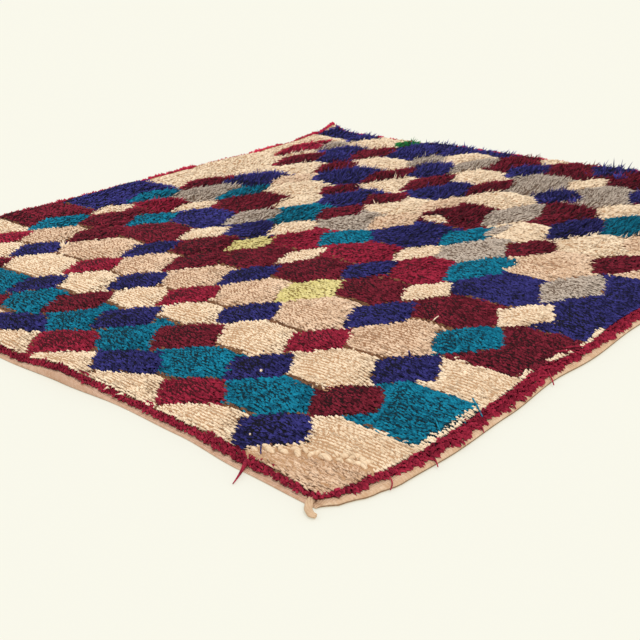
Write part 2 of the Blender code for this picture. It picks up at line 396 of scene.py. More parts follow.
moundMap = {
    "step": 0.004,
    "start": -0.02,
    "beyond": 0.03,
    "reach": 3,  # steps that a blur reaches on each side
    "blurs": 3,
    "outline": 92,  # the percentile of the blurred outline that lies in the deepest groove
}


def makeMoundMap():
    sizes = (loom["width"], loom["length"])
    across, up = (np.arange(moundMap["start"], size + moundMap["beyond"], moundMap["step"])
                  for size in sizes)
    x, y = np.meshgrid(across, up, indexing="ij")
    cells = cellsAt(x, y)[1]
    outline = ((cells != np.roll(cells, 1, 0)) | (cells != np.roll(cells, 1, 1))).astype(float)
    shifts = range(-moundMap["reach"], moundMap["reach"] + 1)
    for _ in range(moundMap["blurs"]):
        for axis in (0, 1):
            outline = sum(np.roll(outline, shift, axis) for shift in shifts) / len(shifts)
    deepest = np.percentile(outline, moundMap["outline"])
    return across, up, 1.0 - np.clip(outline / deepest, 0.0, 1.0)


moundAcross, moundUp, moundHeights = makeMoundMap()


def moundAt(x, y):
    column = np.clip(((x - moundAcross[0]) / moundMap["step"]).astype(int), 0, len(moundAcross) - 1)
    row = np.clip(((y - moundUp[0]) / moundMap["step"]).astype(int), 0, len(moundUp) - 1)
    return moundHeights[column, row]


def pileTop(x, y):
    # how high the tips of the full pile stand over the underside
    uneven = loom["uneven"] * waves(x, y, *loom["unevenWaves"])
    fromCorner = np.hypot(x - loom["dipAt"][0], y - loom["dipAt"][1])
    dip = loom["cornerDip"] * ease(1.0 - fromCorner / loom["dipReach"])
    return loom["pile"] + loom["mound"] * (moundAt(x, y) - loom["moundBase"]) + uneven - dip


print("the net of cells is charted")


# the wools

woolColours = {
    # name: colour in the light, colour of a darker lock, colour at the roots, which is painted shade deep
    # in the pile
    "cream": (wool(242, 221, 193), wool(206, 178, 146), wool(200, 167, 134)),
    "tan": (wool(234, 206, 178), wool(188, 152, 121), wool(168, 132, 104)),
    "teal": (wool(22, 128, 156), wool(6, 74, 98), wool(4, 44, 60)),
    "navy": (wool(56, 54, 120), wool(24, 22, 56), wool(12, 10, 30)),
    "maroon": (wool(126, 36, 52), wool(68, 16, 26), wool(38, 8, 16)),
    "crimson": (wool(160, 40, 64), wool(104, 20, 38), wool(66, 12, 24)),
    "grey": (wool(194, 179, 165), wool(146, 130, 116), wool(108, 92, 80)),
    "lime": (wool(220, 207, 147), wool(201, 188, 121), wool(152, 138, 82)),
    "green": (wool(44, 124, 66), wool(30, 96, 50), wool(14, 56, 30)),
    "rust": (wool(128, 90, 64), wool(102, 70, 48), wool(74, 50, 36)),
}

combedWools = ["cream", "tan", "grey"]

# how much the lock's own tone, a slow drift and fine streaks darken the wool, how strong the thin lines of
# painted shade are where the locks part along the warp, and how closely these follow each other
combedLook = {
    "tone": 0.6, "drift": 0.9, "streaks": 1.3, "streakMiddle": 0.52,
    "lines": 1.0, "lineSpacing": (150.0, 17.0, 0.0),
}
roughLook = {
    "tone": 0.8, "drift": 1.1, "streaks": 1.8, "streakMiddle": 0.48,
    "lines": 0.6, "lineSpacing": (85.0, 16.0, 0.0),
}

strands = {
    "drift": (14.0, 2.0),  # scale and detail
    "fibre": (900.0, 2.0),
    "streakScale": (420.0, 130.0, 300.0),
    "noiseMiddle": 0.5,
    "lineWidth": 0.036,
    "lineDarkness": 0.75,
    # partingShade is the painted shade in the thin lines where the locks part
    "partingShade": 0.6,  # the colour between locks, as a share of the colour at the roots
    # the roots' colour is painted shade: litFrom and litTo say where along a lock it gives way to the
    # lock's own colour
    "litFrom": 0.10,  # where on a lock it leaves the roots' colour, and where it has its own
    "litTo": 0.90,
    "bump": 0.5,
    "bumpHeight": 0.0006,
}

# painted light: toward the back right corner the dark wools are painted paler, as wool looks when seen at a
# low angle; where that starts and ends, as the sum of the two coordinates, and how much each wool gains
paintedFarLight = {
    "from": -0.15,
    "to": 1.25,
    "gains": {"navy": 1.4, "maroon": 0.95, "crimson": 0.9, "teal": 0.7, "green": 0.5},
}


def makeLockWool(name):
    light, dark, root = woolColours[name]
    look = combedLook if name in combedWools else roughLook
    material, tree, shader = newMaterial(name + "Wool")
    tone, rise = (makeNode(tree, "ShaderNodeAttribute", {"attribute_name": attribute}, out=2)
                  for attribute in ("tone", "rise"))
    spot = makeNode(tree, "ShaderNodeTexCoord", out=3)
    drift, fibre = (noise(tree, spot, *strands[size]) for size in ("drift", "fibre"))
    streaks = noise(tree, stretched(tree, spot, strands["streakScale"]), 1.0, 1.0)
    parting = noise(tree, stretched(tree, spot, look["lineSpacing"]), 1.0, 1.0)
    fromLine = parting.maths("ABSOLUTE", parting - strands["noiseMiddle"], 0.0)
    line = ramp(tree, fromLine, strands["lineWidth"], 0.0, strands["lineDarkness"])
    shareOfDark = tone * look["tone"] + (drift - strands["noiseMiddle"]) * look["drift"]
    shareOfDark = shareOfDark + (streaks - look["streakMiddle"]) * look["streaks"]
    # painted shade for the partings: a darker copy of the roots' colour
    partingShade = (*(strands["partingShade"] * np.array(root[:3])).tolist(), 1.0)
    body = mixColour(tree, shareOfDark, light, dark)
    lined = mixColour(tree, line * look["lines"], body, partingShade)
    # painted shade: low down each lock takes the roots' colour, fading to its own colour towards its end
    colour = mixColour(tree, ramp(tree, rise, strands["litFrom"], strands["litTo"]), root, lined)
    # painted light toward the back right corner
    if name in paintedFarLight["gains"]:
        across, up = (makeNode(tree, "ShaderNodeSeparateXYZ", None, {"Vector": spot}, out=axis)
                      for axis in (0, 1))
        share = ramp(tree, across + up, paintedFarLight["from"], paintedFarLight["to"])
        colour = mixColour(tree, 1.0, colour, share * paintedFarLight["gains"][name] + 1.0, "MULTIPLY")
    paint(tree, shader, colour, fibre, strands["bump"], strands["bumpHeight"])
    return material


lockWools = {name: makeLockWool(name) for name in woolNames}


# locks of wool: many small tufts in one mesh, each bent over from its root to a pointed tip

lockShape = {
    "flatness": 0.75,
    "sectionTurns": (90.0, 210.0, 330.0),  # the corners of a lock's three-sided section, in degrees
    "mapMargin": 0.15,  # what each lock's square of the map leaves free on every side
}


def growLocks(name, wool, place, heading, reach, rise, tip, thick, tone, rings, shaded=0.0):
    # place is each root, heading and reach say how far off its tip lies, rise how high its crest is, tip
    # how high its end is, and shaded how much more of the roots' painted shade it gets below its end
    count = len(place)
    forward = np.stack([np.cos(heading), np.sin(heading), np.zeros(count)], 1)
    side = np.stack([-np.sin(heading), np.cos(heading), np.zeros(count)], 1)
    upward = np.array([0.0, 0.0, 1.0])
    outs = [ring[0] * reach for ring in rings] + [reach]
    ups = [ring[1] * rise for ring in rings] + [tip]
    # shares: how far each point has left the painted shade of the roots, which the shaders read as rise
    points, shares = [], []
    for spot, width in enumerate(ring[2] for ring in rings):
        centre = place + forward * outs[spot][:, None] + upward * ups[spot][:, None]
        before = max(spot - 1, 0)
        tilt = np.arctan2(ups[spot + 1] - ups[before], outs[spot + 1] - outs[before])
        crown = upward * np.cos(tilt)[:, None] - forward * np.sin(tilt)[:, None]
        for turn in lockShape["sectionTurns"]:
            sideways = math.cos(math.radians(turn)) * width * thick
            outward = math.sin(math.radians(turn)) * width * thick * lockShape["flatness"]
            points.append(centre + side * sideways[:, None] + crown * outward[:, None])
            shares.append((1.0 if spot else 0.0) * (1.0 - shaded) * np.ones(count))
    points.append(place + forward * reach[:, None] + upward * tip[:, None])
    shares.append(np.ones(count))

    # triangles of one lock, each with its corners on the lock's own map
    last, levels = len(points) - 1, np.linspace(0.0, 1.0, len(rings) + 1)
    faces, spots = [(0, 2, 1)], [(0.0, 0.0, 0.66, 0.0, 0.33, 0.0)]
    for turn in range(3):
        after = (turn + 1) % 3
        left, right = turn / 3, (turn + 1) / 3
        for ring in range(len(rings) - 1):
            low, high, bottom, top = 3 * ring, 3 * ring + 3, levels[ring], levels[ring + 1]
            faces += [(low + turn, low + after, high + after), (low + turn, high + after, high + turn)]
            spots += [(left, bottom, right, bottom, right, top), (left, bottom, right, top, left, top)]
        base = last - 3
        faces.append((base + turn, base + after, last))
        spots.append((left, levels[-2], right, levels[-2], 0.5 * (left + right), 1.0))

    perLock = len(points)
    verts = np.stack(points, 1).reshape(-1, 3)
    corners = (np.array(faces)[None] + np.arange(count)[:, None, None] * perLock).reshape(-1)
    mesh = bpy.data.meshes.new(name)
    mesh.vertices.add(len(verts))
    mesh.vertices.foreach_set("co", verts.astype(np.float32).ravel())
    mesh.loops.add(len(corners))
    mesh.loops.foreach_set("vertex_index", corners.astype(np.int32))
    mesh.polygons.add(len(corners) // 3)
    mesh.polygons.foreach_set("loop_start", np.arange(0, len(corners), 3, dtype=np.int32))
    mesh.update(calc_edges=True)
    if wool in combedWools:
        mesh.shade_smooth()
    else:
        mesh.shade_flat()
    setFloats(mesh, "tone", np.repeat(tone, perLock))
    setFloats(mesh, "rise", np.stack(shares, 1).ravel())

    # every lock has its own small square of the map
    perSide = math.ceil(math.sqrt(count))
    lock = np.arange(count)
    cell = np.stack([lock % perSide, lock // perSide], 1) / perSide
    margin = lockShape["mapMargin"]
    inCell = np.array(spots).reshape(-1, 2) * (1.0 - 2 * margin) + margin
    flat = (cell[:, None, :] + inCell[None] / perSide).reshape(-1, 2)
    layer = mesh.uv_layers.new(name="OFBake")
    layer.uv.foreach_set("vector", flat.astype(np.float32).ravel())

    piece = bpy.data.objects.new(name, mesh)
    bpy.context.scene.collection.objects.link(piece)
    mesh.materials.append(lockWools[wool])
    return piece


def seat(piece, node):
    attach(piece, "root")
    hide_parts(node)
    return piece


def dress(piece, material):
    piece.data.materials.clear()
    piece.data.materials.append(material)


def toFrame(x, y, z):
    return np.stack([x + loom["origin"][0], y + loom["origin"][1], z], 1)


# how far in the crimson border lies at each end, in millimetres: station, where its locks end and
# where its knots begin
bands = {
    "front": np.array([
        (0, 9, 17.5), (30, 8, 18), (50, 9, 21), (70, 10, 24.5), (90, 12.5, 27), (120, 9, 25),
        (150, 4.5, 24), (180, 0, 24.5), (210, 3.5, 27.5), (250, 0, 25), (330, 3.5, 28.5),
        (370, 0, 29), (410, 0, 29), (486, 2, 29), (560, 7, 23.5), (595, 9, 21.5), (640, 8, 22.5),
        (680, 1.5, 24.5), (1717, 3, 26),
    ]) / 1000,
    "back": np.array([(0, 13, 30)]) / 1000,
}


def bandLine(end, x, column):
    return np.interp(x, bands[end][:, 0], bands[end][:, column])


def bandEdge(x, y, column):
    # the chosen side of the border, from the nearer end of the rug
    front, back = (bandLine(end, x, column) for end in ("front", "back"))
    return np.where(y < 0.5 * loom["length"], front, back)


# the field: a lock at every knot, lying towards the front and standing up more at the far end

field = {
    # the spacing of the knots along the weft and the warp, finer towards the front left corner
    "pitch": (0.0035, 0.0067),
    "margins": (0.007, 0.019),
    "coarser": 0.30,  # by how much it grows over each metre
    "draw": 0.0024,  # how far two neighbouring columns draw together, and how unevenly
    "drawShare": (0.8, 0.5, 1.3),
    "drawWaves": (0.060, 61),
    "wander": 0.004,
    "wanderWaves": (0.30, 31),
    "shake": (0.0004, 0.0008),
    "fromBorder": 0.0030,
    # how far in the pile begins at the left: station and inset
    "leftInset": [(0.00, 0.0135), (0.10, 0.0135), (0.14, 0.0182), (0.23, 0.0205), (0.29, 0.0149)],
    "sideInset": 0.0180,
    "root": 0.0095,
    "radius": 0.0028,
    "rings": [(0.0, 0.0, 0.8), (0.42, 0.80, 1.0)],
    # what a lock is like where it lies down, near the front corner, and where it stands
    "reach": (0.0150, 0.0150),
    "tipHeight": (0.70, 1.55),
    "spread": (4.0, 42.0),
    # the same, as a value where it lies and how much is added where it stands
    "swirl": (2.0, 30.0),
    "clumpHeight": (0.04, 0.22),
    "uneven": (0.04, 0.06),
    "tipUneven": (0.05, 0.10),
    "strayTip": (1.2, 0.25),
    "strays": (0.3, 1.0),
    "strayShare": 0.05,
    # how uneven locks are, least and most: their reach and thickness, and the limits of their heights
    "reachChance": (0.20, 0.5, 1.7),
    "thickChance": (0.12, 0.6, 1.5),
    "heightLimits": (0.75, 1.3),
    "tipLimits": (0.6, 1.5),
    "strayReach": 1.25,
    "strayTurn": 0.9,
    "highest": 0.0424,  # no lock's end lies higher than this over the floor
    "overBorder": 0.0035,  # how far the first locks may reach over the border
    "leastReach": 0.006,
    "roughSpread": 10.0,  # how much more the locks of the dark wools spread, in degrees
    "drift": 10.0,
    "driftWaves": (0.16, 21),
    "turned": 24.0,
    "thinner": 0.45,
    "fineness": (0.96, 0.90),  # how thick the locks of cream and tan are, then those of the other wools
    "calm": 0.45,  # how much cream and tan stand up, beside the other wools
    "clumpWaves": (0.022, 71),  # the clumps that locks draw together in
    "swirlWaves": (0.022, 72),
    "fall": 0.65,  # where along its reach a lock is mostly seen
    # how much painted shade a standing lock gets below its end: the combed wools, then the others
    "shadedPale": 0.10,
    "shaded": 0.65,
    # where the pile begins to stand and where it stands in full, and how much that follows each side
    "standsFrom": 0.32,
    "standsBy": 0.72,
    "standsAlong": (0.75, 0.25, 0.08),
    "standWaves": (0.35, 5),
    "chartShift": 0.0020,  # the chart was read a little above the middle of the locks
    # how far an outline reaches on each side, and how much of it is brown: between two hexagons, then
    # around a lozenge, with less beyond the stations below and in the front row
    "outlineReach": (0.0050, 0.0026),
    "outlineShare": (0.95, 0.16),
    "outlineFades": (0.50, 0.80),
    "outlineLeast": 0.10,
    # a strip of cream inside the front border: station, how wide it is and how whole
    "guard": [(0.16, 0.0110, 1.0), (0.33, 0.0110, 1.0), (0.43, 0.0065, 0.6), (0.60, 0.0055, 0.2),
              (0.72, 0.0055, 0.0)],
    "guardBreaks": (0.15, 2.0),  # where it breaks, and how its wholeness closes the breaks
    "guardWaves": (0.13, 41),
    # tones: the chance part of cream and tan, then of the rest, how clumps change them, and the painted
    # light that darkens cream and tan at the front and pales them towards the back
    "toneChance": (0.4, 1.0),
    "toneClump": 0.35,
    "paintedShadeFront": 0.40,
    "paintedLightAlong": 0.80,
}

# in the front corner the pile is brushed over: a band of fat curls and soft fleece inside it
corner = {
    "within": (0.16, 0.26),
    "band": [(0.030, 0.200), (0.046, 0.160), (0.062, 0.125), (0.078, 0.090), (0.086, 0.062),
             (0.084, 0.042)],
    "bandSteps": 120,
    "bandWidth": 0.0046,
    "curls": 20,
    "curlsFrom": 0.1,  # how far from the band's ends the curls begin, as a share of one of its parts
    "spacingUneven": 0.03,
    # one curl: how far along it each point is, its height and its radius
    "curl": [(-0.0078, 0.0000, 0.0020), (-0.003, 0.0028, 0.0040), (0.003, 0.0028, 0.0042),
             (0.0085, 0.0000, 0.0020)],
    "curlOffset": 0.0055,
    "curlShake": 0.0012,
    "curlTurn": (-84.0, 32.0),
    "sizeUneven": 0.17,
    "curlSunk": 0.0036,
    "fleeceReach": 0.0210,
    "fleeceSpread": 14.0,
    "fleeceTurn": (-45.0, 0.03, 0.06),  # degrees, then the stations between which the fleece turns so far
    "fleeceTone": 0.4,
}


def knotGrid():
    # even rows of knots, each shaken a little, in columns that wander
    grown = []
    coarser = field["coarser"]
    for pitch, start, stop in zip(field["pitch"], field["margins"], (loom["width"], loom["length"])):
        count = math.floor(math.log(1.0 + coarser * (stop - 2 * start)) / (coarser * pitch))
        grown.append(start + (np.exp(coarser * pitch * np.arange(count)) - 1.0) / coarser)
    across, up = grown
    x, y = np.meshgrid(across, up, indexing="ij")
    # the columns draw together in pairs, which leaves a dark line along the warp between them
    drawn = (np.arange(len(across)) % 2 - 0.5)[:, None] * field["draw"]
    even, uneven, most = field["drawShare"]
    x = x - drawn * (even + uneven * waves(x, y, *field["drawWaves"])).clip(0.0, most)
    x = x + field["wander"] * waves(x, y, *field["wanderWaves"])
    x = x + dice.normal(0, field["shake"][0], x.shape)
    stagger = dice.uniform(0, field["pitch"][1], len(across))
    y = y + stagger[:, None] + dice.normal(0, field["shake"][1], y.shape)
    return x.ravel(), y.ravel()


def standing(x, y):
    # 0 where the pile lies down and 1 where it stands
    byX, byY, byChance = field["standsAlong"]
    uneven = byChance * waves(x, y, *field["standWaves"])
    far = byX * x / loom["width"] + byY * y / loom["length"] + uneven
    return ease((far - field["standsFrom"]) / (field["standsBy"] - field["standsFrom"]))


def bandAt(x, y):
    # how far each place lies from the band of curls, below zero on the corner's side
    knots = np.array(corner["band"])
    steps = np.linspace(0, len(knots) - 1, corner["bandSteps"])
    line = np.stack([np.interp(steps, np.arange(len(knots)), knots[:, axis]) for axis in (0, 1)], 1)
    away = np.full(x.shape, 1.0)
    near = np.flatnonzero((x < corner["within"][0]) & (y < corner["within"][1]))
    gaps = np.stack([x[near], y[near]], 1)[:, None] - line[None]
    closest = np.linalg.norm(gaps, axis=2)
    spot = closest.argmin(1)
    ahead = line[np.minimum(spot + 1, len(line) - 1)] - line[np.maximum(spot - 1, 0)]
    gap = gaps[np.arange(len(near)), spot]
    side = np.sign(ahead[:, 0] * gap[:, 1] - ahead[:, 1] * gap[:, 0])
    away[near] = closest[np.arange(len(near)), spot] * side
    return away


def growField():
    x, y = knotGrid()
    side, end = fromEdges(x, y)
    laidX, laidY = layOut(x, y)
    fromBand = bandAt(laidX, laidY)
    stations, insets = np.array(field["leftInset"]).T
    sideInset = np.where(x < 0.5 * loom["width"], np.interp(y, stations, insets), field["sideInset"])
    inField = (side > sideInset) & (end > bandEdge(x, y, 2) + field["fromBorder"])
    inField &= np.abs(fromBand) > corner["bandWidth"]
    x, y, laidX, laidY, fromBand = (values[inField] for values in (x, y, laidX, laidY, fromBand))
    count = len(x)
    wanted = cellsAt(laidX, laidY)[0]
    calm = np.isin(wanted, [woolNames.index("cream"), woolNames.index("tan")])
    stand = standing(x, y) * np.where(calm, field["calm"], 1.0)
    fleece = fromBand < 0

    def between(name):
        low, high = field[name]
        return low + (high - low) * stand

    def rising(name):
        low, gain = field[name]
        return low + gain * stand

    reach = np.where(fleece, corner["fleeceReach"], between("reach"))
    reach = reach * chance(count, *field["reachChance"])
    fromFront = y - bandEdge(x, y, 2)
    reach = np.minimum(reach, np.maximum(fromFront + field["overBorder"], field["leastReach"]))
    drift = field["drift"] * waves(x, y, *field["driftWaves"])
    roughWool = ~np.isin(wanted, [woolNames.index(name) for name in combedWools])
    spread = between("spread") + np.where(roughWool, field["roughSpread"], 0.0)
    spread = np.where(fleece, corner["fleeceSpread"], spread)
    most, begins, over = corner["fleeceTurn"]
    fleeceTurn = most * ((laidX - begins) / over).clip(0.0, 1.0)
    turned = np.where(fleece, fleeceTurn, drift + field["turned"] * stand)
    swirl = rising("swirl") * waves(x, y, *field["swirlWaves"])
    heading = np.radians(-90.0 + turned + swirl + spread * dice.normal(0, 1.0, count))
    # a knot takes the wool of the cell that its lock falls on, were it an even one
    usual = np.radians(-90.0 + turned)
    tipX = laidX + field["fall"] * between("reach") * np.cos(usual)
    tipY = laidY + field["fall"] * between("reach") * np.sin(usual)
    seenX, seenY = tipX - field["chartShift"], tipY - field["chartShift"]
    wools, cells = cellsAt(seenX, seenY)

    share = np.zeros(count)
    for kind, step in enumerate(field["outlineReach"]):
        for moveX, moveY in ((step, 0), (-step, 0), (0, step), (0, -step)):
            other = cellsAt(seenX + moveX, seenY + moveY)[1]
            atLozenge = np.maximum(cells, other) >= net["firstLozenge"]
            found = (other != cells) & (atLozenge == (kind == 1))
            shares = (field["outlineShare"][kind], field["outlineLeast"])
            most = np.interp(laidX, field["outlineFades"], shares)
            most = np.where(cells < net["cellsInRow"], field["outlineLeast"], most)
            share = np.where(found, np.maximum(share, most), share)
    outlined = dice.random(count) < share
    wools = np.where(outlined, woolNames.index("rust"), wools)
    width, whole = (np.interp(x, *np.array(field["guard"])[:, (0, column)].T) for column in (1, 2))
    lowest, closes = field["guardBreaks"]
    guard = fromFront - field["fall"] * between("reach") < width
    guard &= waves(x, y * 0, *field["guardWaves"]) > -lowest - closes * whole
    wools = np.where(guard, woolNames.index("cream"), wools)
    wools = np.where(fleece, woolNames.index("tan"), wools)

    clump = waves(x, y, *field["clumpWaves"])
    height = (pileTop(laidX, laidY) - field["root"]) * (1.0 + rising("clumpHeight") * clump)
    height = height * chance(count, rising("uneven"), *field["heightLimits"])
    tip = height * between("tipHeight") * chance(count, rising("tipUneven"), *field["tipLimits"])
    stray = dice.random(count) < field["strayShare"] * rising("strays")
    tip = np.where(stray & ~outlined, tip * rising("strayTip"), tip)
    tip = np.minimum(tip, field["highest"] - lift(x, y) - field["root"])
    reach = np.where(stray, reach * field["strayReach"], reach)
    heading = np.where(stray, heading + dice.normal(0, field["strayTurn"], count), heading)
    coarse = 1.0 + field["coarser"] * x
    thick = field["radius"] * coarse * chance(count, *field["thickChance"])
    thick = thick * (1.0 - field["thinner"] * stand) * np.where(calm, *field["fineness"])
    # painted light: cream and tan are painted darker at the front and paler towards the back, where their
    # locks are seen at a low angle
    tone = 0.5 + (dice.random(count) - 0.5) * np.where(calm, *field["toneChance"])
    tone = tone - field["toneClump"] * clump + np.where(fleece, corner["fleeceTone"], 0.0)
    tone = tone + np.where(calm, field["paintedShadeFront"] - field["paintedLightAlong"] * y / loom["length"], 0.0)
    place = toFrame(laidX, laidY, lift(x, y) + field["root"])
    for index, wool in enumerate(woolNames):
        mine = np.flatnonzero(wools == index)
        mine = mine[np.argsort(y[mine], kind="stable")]
        shaded = field["shadedPale" if wool in combedWools else "shaded"]
        piece = growLocks("pile_" + wool, wool, place[mine], heading[mine], reach[mine], height[mine],
                          tip[mine], thick[mine], tone[mine], field["rings"], stand[mine] * shaded)
        seat(piece, "rug")
        print(piece.name, len(mine), "locks")


def courseOfCurls():
    # fat curls lying side by side along the band, each bent over towards the front
    knots = np.array(corner["band"])
    first = corner["curlsFrom"]
    steps = np.linspace(first, len(knots) - 1 - first, corner["curls"])
    courses = []
    for spot, step in enumerate(steps + dice.normal(0, corner["spacingUneven"], len(steps))):
        offset = -corner["curlOffset"] if spot % 2 == 0 else corner["curlOffset"]
        shake = corner["curlShake"]
        x = np.interp(step, np.arange(len(knots)), knots[:, 0]) + offset + dice.normal(0, shake)
        y = np.interp(step, np.arange(len(knots)), knots[:, 1]) + offset * 0.5 + dice.normal(0, shake)
        usual, spread = corner["curlTurn"]
        heading = math.radians(usual + dice.normal(0, spread))
        size = dice.normal(1.0, corner["sizeUneven"])
        top = float(pileTop(np.array([x]), np.array([y]))[0])
        course = np.array(corner["curl"]) * size
        out = course[:, 0]
        courses.append(np.stack([x + out * math.cos(heading), y + out * math.sin(heading),
                                 course[:, 1] + top - corner["curlSunk"], course[:, 2]], 1))
    return courses


growField()


# the border: crimson locks that fall outward over the hem and the selvedge

border = {
    "pitch": 0.0037,
    "radius": 0.0029,
    "root": 0.0040,
    "rings": [(0.0, 0.0, 0.75), (0.25, 0.88, 1.0), (0.70, 1.0, 0.80)],
    # rows of knots, by their place from the outer side of the band to the inner one: how far the locks
    # fall outward, the height of their tips, and which share of the tables below they follow
    "hemRows": [(0.00, 0.0085, 0.0094, 2), (0.25, 0.0085, 0.0106, 0), (0.50, 0.0080, 0.0124, 0),
                (0.75, 0.0075, 0.0142, 0), (1.00, 0.0070, 0.0156, 1)],
    # the same by inset
    "sideRows": [(0.0108, 0.0065, 0.0078, 1), (0.0128, 0.0070, 0.0100, 0), (0.0148, 0.0070, 0.0125, 0),
                 (0.0175, 0.0070, 0.0145, 2), (0.0205, 0.0070, 0.0155, 2)],
    "sideTurn": 52.0,  # how far the locks at the sides are combed towards the front
    "highest": 0.0420,  # no lock's crest has its middle higher than this over the floor
    "margins": (0.010, 0.022),  # where the rows begin at the hems and at the sides
    "shake": (0.0006, 0.0007, 0.0011),  # along the row, across it, and in slow waves across it
    "slowWaves": (0.022, 23),
    "turn": 18.0,
    "bunch": 0.30,
    "bunchWaves": (0.018, 19),
    "clumpWaves": (0.045, 17),
    # how uneven locks are, least and most
    "reachChance": (0.20, 0.4, 1.8),
    "riseChance": (0.12, 0.6, 1.4),
    "thickChance": (0.16, 0.6, 1.5),
    "tipShare": (0.45, 0.72),  # how high a lock's end is, for the broken rows at the hems and the rest
    # along each edge: station, then how much there is of the main, the inner and the broken rows,
    # with the last values kept up to the edge's end
    "front": [(0.00, 1.0, 0.3, 0.2), (0.05, 1.0, 0.8, 0.3), (0.09, 1.0, 1.0, 0.4), (0.13, 1.0, 1.0, 0.6)],
    "left": [(0.00, 0.9, 0.3, 0.0), (0.06, 1.0, 0.6, 0.0), (0.11, 1.0, 0.8, 0.1), (0.14, 1.0, 1.0, 0.9),
             (0.24, 1.0, 1.0, 1.0), (0.29, 1.0, 1.0, 0.4)],
    "back": [(0.00, 1.0, 1.0, 0.5)],
    "right": [(0.00, 1.0, 1.0, 0.5), (1.62, 1.0, 1.0, 0.3)],
    # station along the back, then by how much the locks there are taller
    "taller": [(0.30, 0.0042), (0.34, 0.0), (0.90, 0.0), (0.94, 0.0050), (1.09, 0.0050), (1.10, 0.0),
               (1.29, 0.0), (1.33, 0.0050), (1.43, 0.0050), (1.46, 0.0), (1.50, 0.0), (1.52, 0.0050)],
}


def edgeRow(edge, place, fall, start, stop):
    # evenly spaced roots along one edge, with the heading that points out over it
    station = np.arange(start, stop, border["pitch"])
    alongRow, acrossRow, slow = border["shake"]
    station = station + dice.normal(0, alongRow, len(station))
    shaken = dice.normal(0, acrossRow, len(station))
    shaken = shaken + slow * waves(station, station * 0, *border["slowWaves"])
    if edge in bands:
        outer, inner = (bandLine(edge, station, column) for column in (1, 2))
        inward = outer + fall + place * np.maximum(inner - outer - fall, 0.0) + shaken
        if edge == "front":
            return station, inward, np.full(len(station), -90.0)
        return station, loom["length"] - inward, np.full(len(station), 90.0)
    inward = place + shaken
    if edge == "left":
        return inward, station, np.full(len(station), 180.0 + border["sideTurn"])
    return loom["width"] - inward, station, np.full(len(station), -border["sideTurn"])


def growBorder():
    found = []
    for edge in ("front", "back", "left", "right"):
        atHem = edge in ("front", "back")
        size = loom["width"] if atHem else loom["length"]
        margin = border["margins"][0 if atHem else 1]
        stations, *shares = np.array(border[edge]).T
        for place, fall, tip, kind in border["hemRows" if atHem else "sideRows"]:
            x, y, outward = edgeRow(edge, place, fall, margin, size - margin)
            station = x if atHem else y
            share = np.interp(station, stations, shares[kind])
            clumps = 0.5 + 0.5 * waves(station, station * 0, *border["clumpWaves"])
            kept = clumps < share if kind == 2 else dice.random(len(x)) < share
            x, y, outward, station = x[kept], y[kept], outward[kept], station[kept]
            count = len(x)
            heading = np.radians(outward + dice.normal(0, border["turn"], count))
            bunch = 1.0 + border["bunch"] * waves(station, station * 0, *border["bunchWaves"])
            reach = fall * bunch * chance(count, *border["reachChance"])
            if edge == "back":
                tip = tip + np.interp(station, *np.array(border["taller"]).T)
            rise = (tip - border["root"]) * chance(count, *border["riseChance"])
            tipShare = border["tipShare"][0 if kind == 2 and atHem else 1]
            found.append((x, y, heading, reach, rise, rise * tipShare))
    x, y, heading, reach, rise, tip = (np.concatenate(column) for column in zip(*found))
    rise = np.minimum(rise, border["highest"] - lift(x, y) - border["root"])
    laidX, laidY = layOut(x, y)
    thick = border["radius"] * chance(len(x), *border["thickChance"])
    place = toFrame(laidX, laidY, lift(x, y) + border["root"])
    piece = growLocks("border_crimson", "crimson", place, heading, reach, rise, tip, thick,
                      dice.random(len(x)), border["rings"])
    seat(piece, "rug")
    print("border_crimson", len(x), "locks")


growBorder()


# loose yarns: ends that hang over the edges or stand out of the pile

yarns = {
    # wool, then points along each yarn, in tenths of a millimetre: x, y, z and radius
    "yarns_crimson": ("crimson", [
        [(80, 1900, 100, 34), (-30, 1820, 95, 34), (-140, 1760, 75, 22),
         (-270, 1710, 42, 13), (-400, 1670, 16, 6)],
        [(940, 200, 130, 9), (880, 50, 105, 9), (800, -20, 80, 9), (740, -30, 40, 8)],
        [(1780, 180, 130, 11), (1680, 0, 100, 11), (1600, -110, 70, 10), (1580, -140, 35, 8)],
        [(1500, 160, 130, 10), (1430, 30, 105, 10), (1370, -20, 85, 8)],
        [(2840, 200, 130, 10), (2760, 20, 100, 10), (2680, -90, 70, 8)],
        [(3720, 220, 130, 12), (3630, 80, 105, 12), (3540, -30, 75, 10)],
        [(4860, 280, 135, 13), (4730, 140, 110, 13), (4660, 60, 70, 12), (4630, 20, 30, 9)],
        [(5600, 500, 190, 13), (5900, 300, 175, 13), (5980, 160, 130, 10)],
        [(5400, 520, 190, 13), (5660, 320, 175, 13), (5720, 180, 130, 10)],
    ]),
    "yarns_navy": ("navy", [
        [(440, 2000, 180, 10), (360, 1900, 225, 11), (260, 1810, 215, 11), (180, 1720, 195, 8)],
        [(3960, 2260, 130, 22), (3930, 2240, 220, 19), (3890, 2220, 280, 12)],
    ]),
    "yarns_teal": ("teal", [
        [(2500, 700, 170, 11), (2370, 500, 200, 12), (2220, 340, 190, 12), (2120, 200, 160, 9)],
        [(3300, 560, 170, 13), (3160, 400, 190, 13), (3040, 260, 180, 12), (2940, 120, 135, 9)],
        [(2820, 500, 170, 11), (2720, 340, 185, 11), (2620, 180, 150, 9)],
        [(3120, 1640, 180, 10), (2960, 1400, 205, 10), (2820, 1180, 195, 8)],
    ]),
    "yarns_cream": ("cream", [
        [(2080, 3740, 150, 22), (2060, 3710, 195, 26), (2030, 3690, 180, 12)],
        [(500, 2290, 150, 12), (490, 2270, 195, 14), (480, 2260, 180, 8)],
        [(5360, 2900, 150, 10), (5420, 2870, 205, 11), (5500, 2860, 225, 7)],
    ]),
}


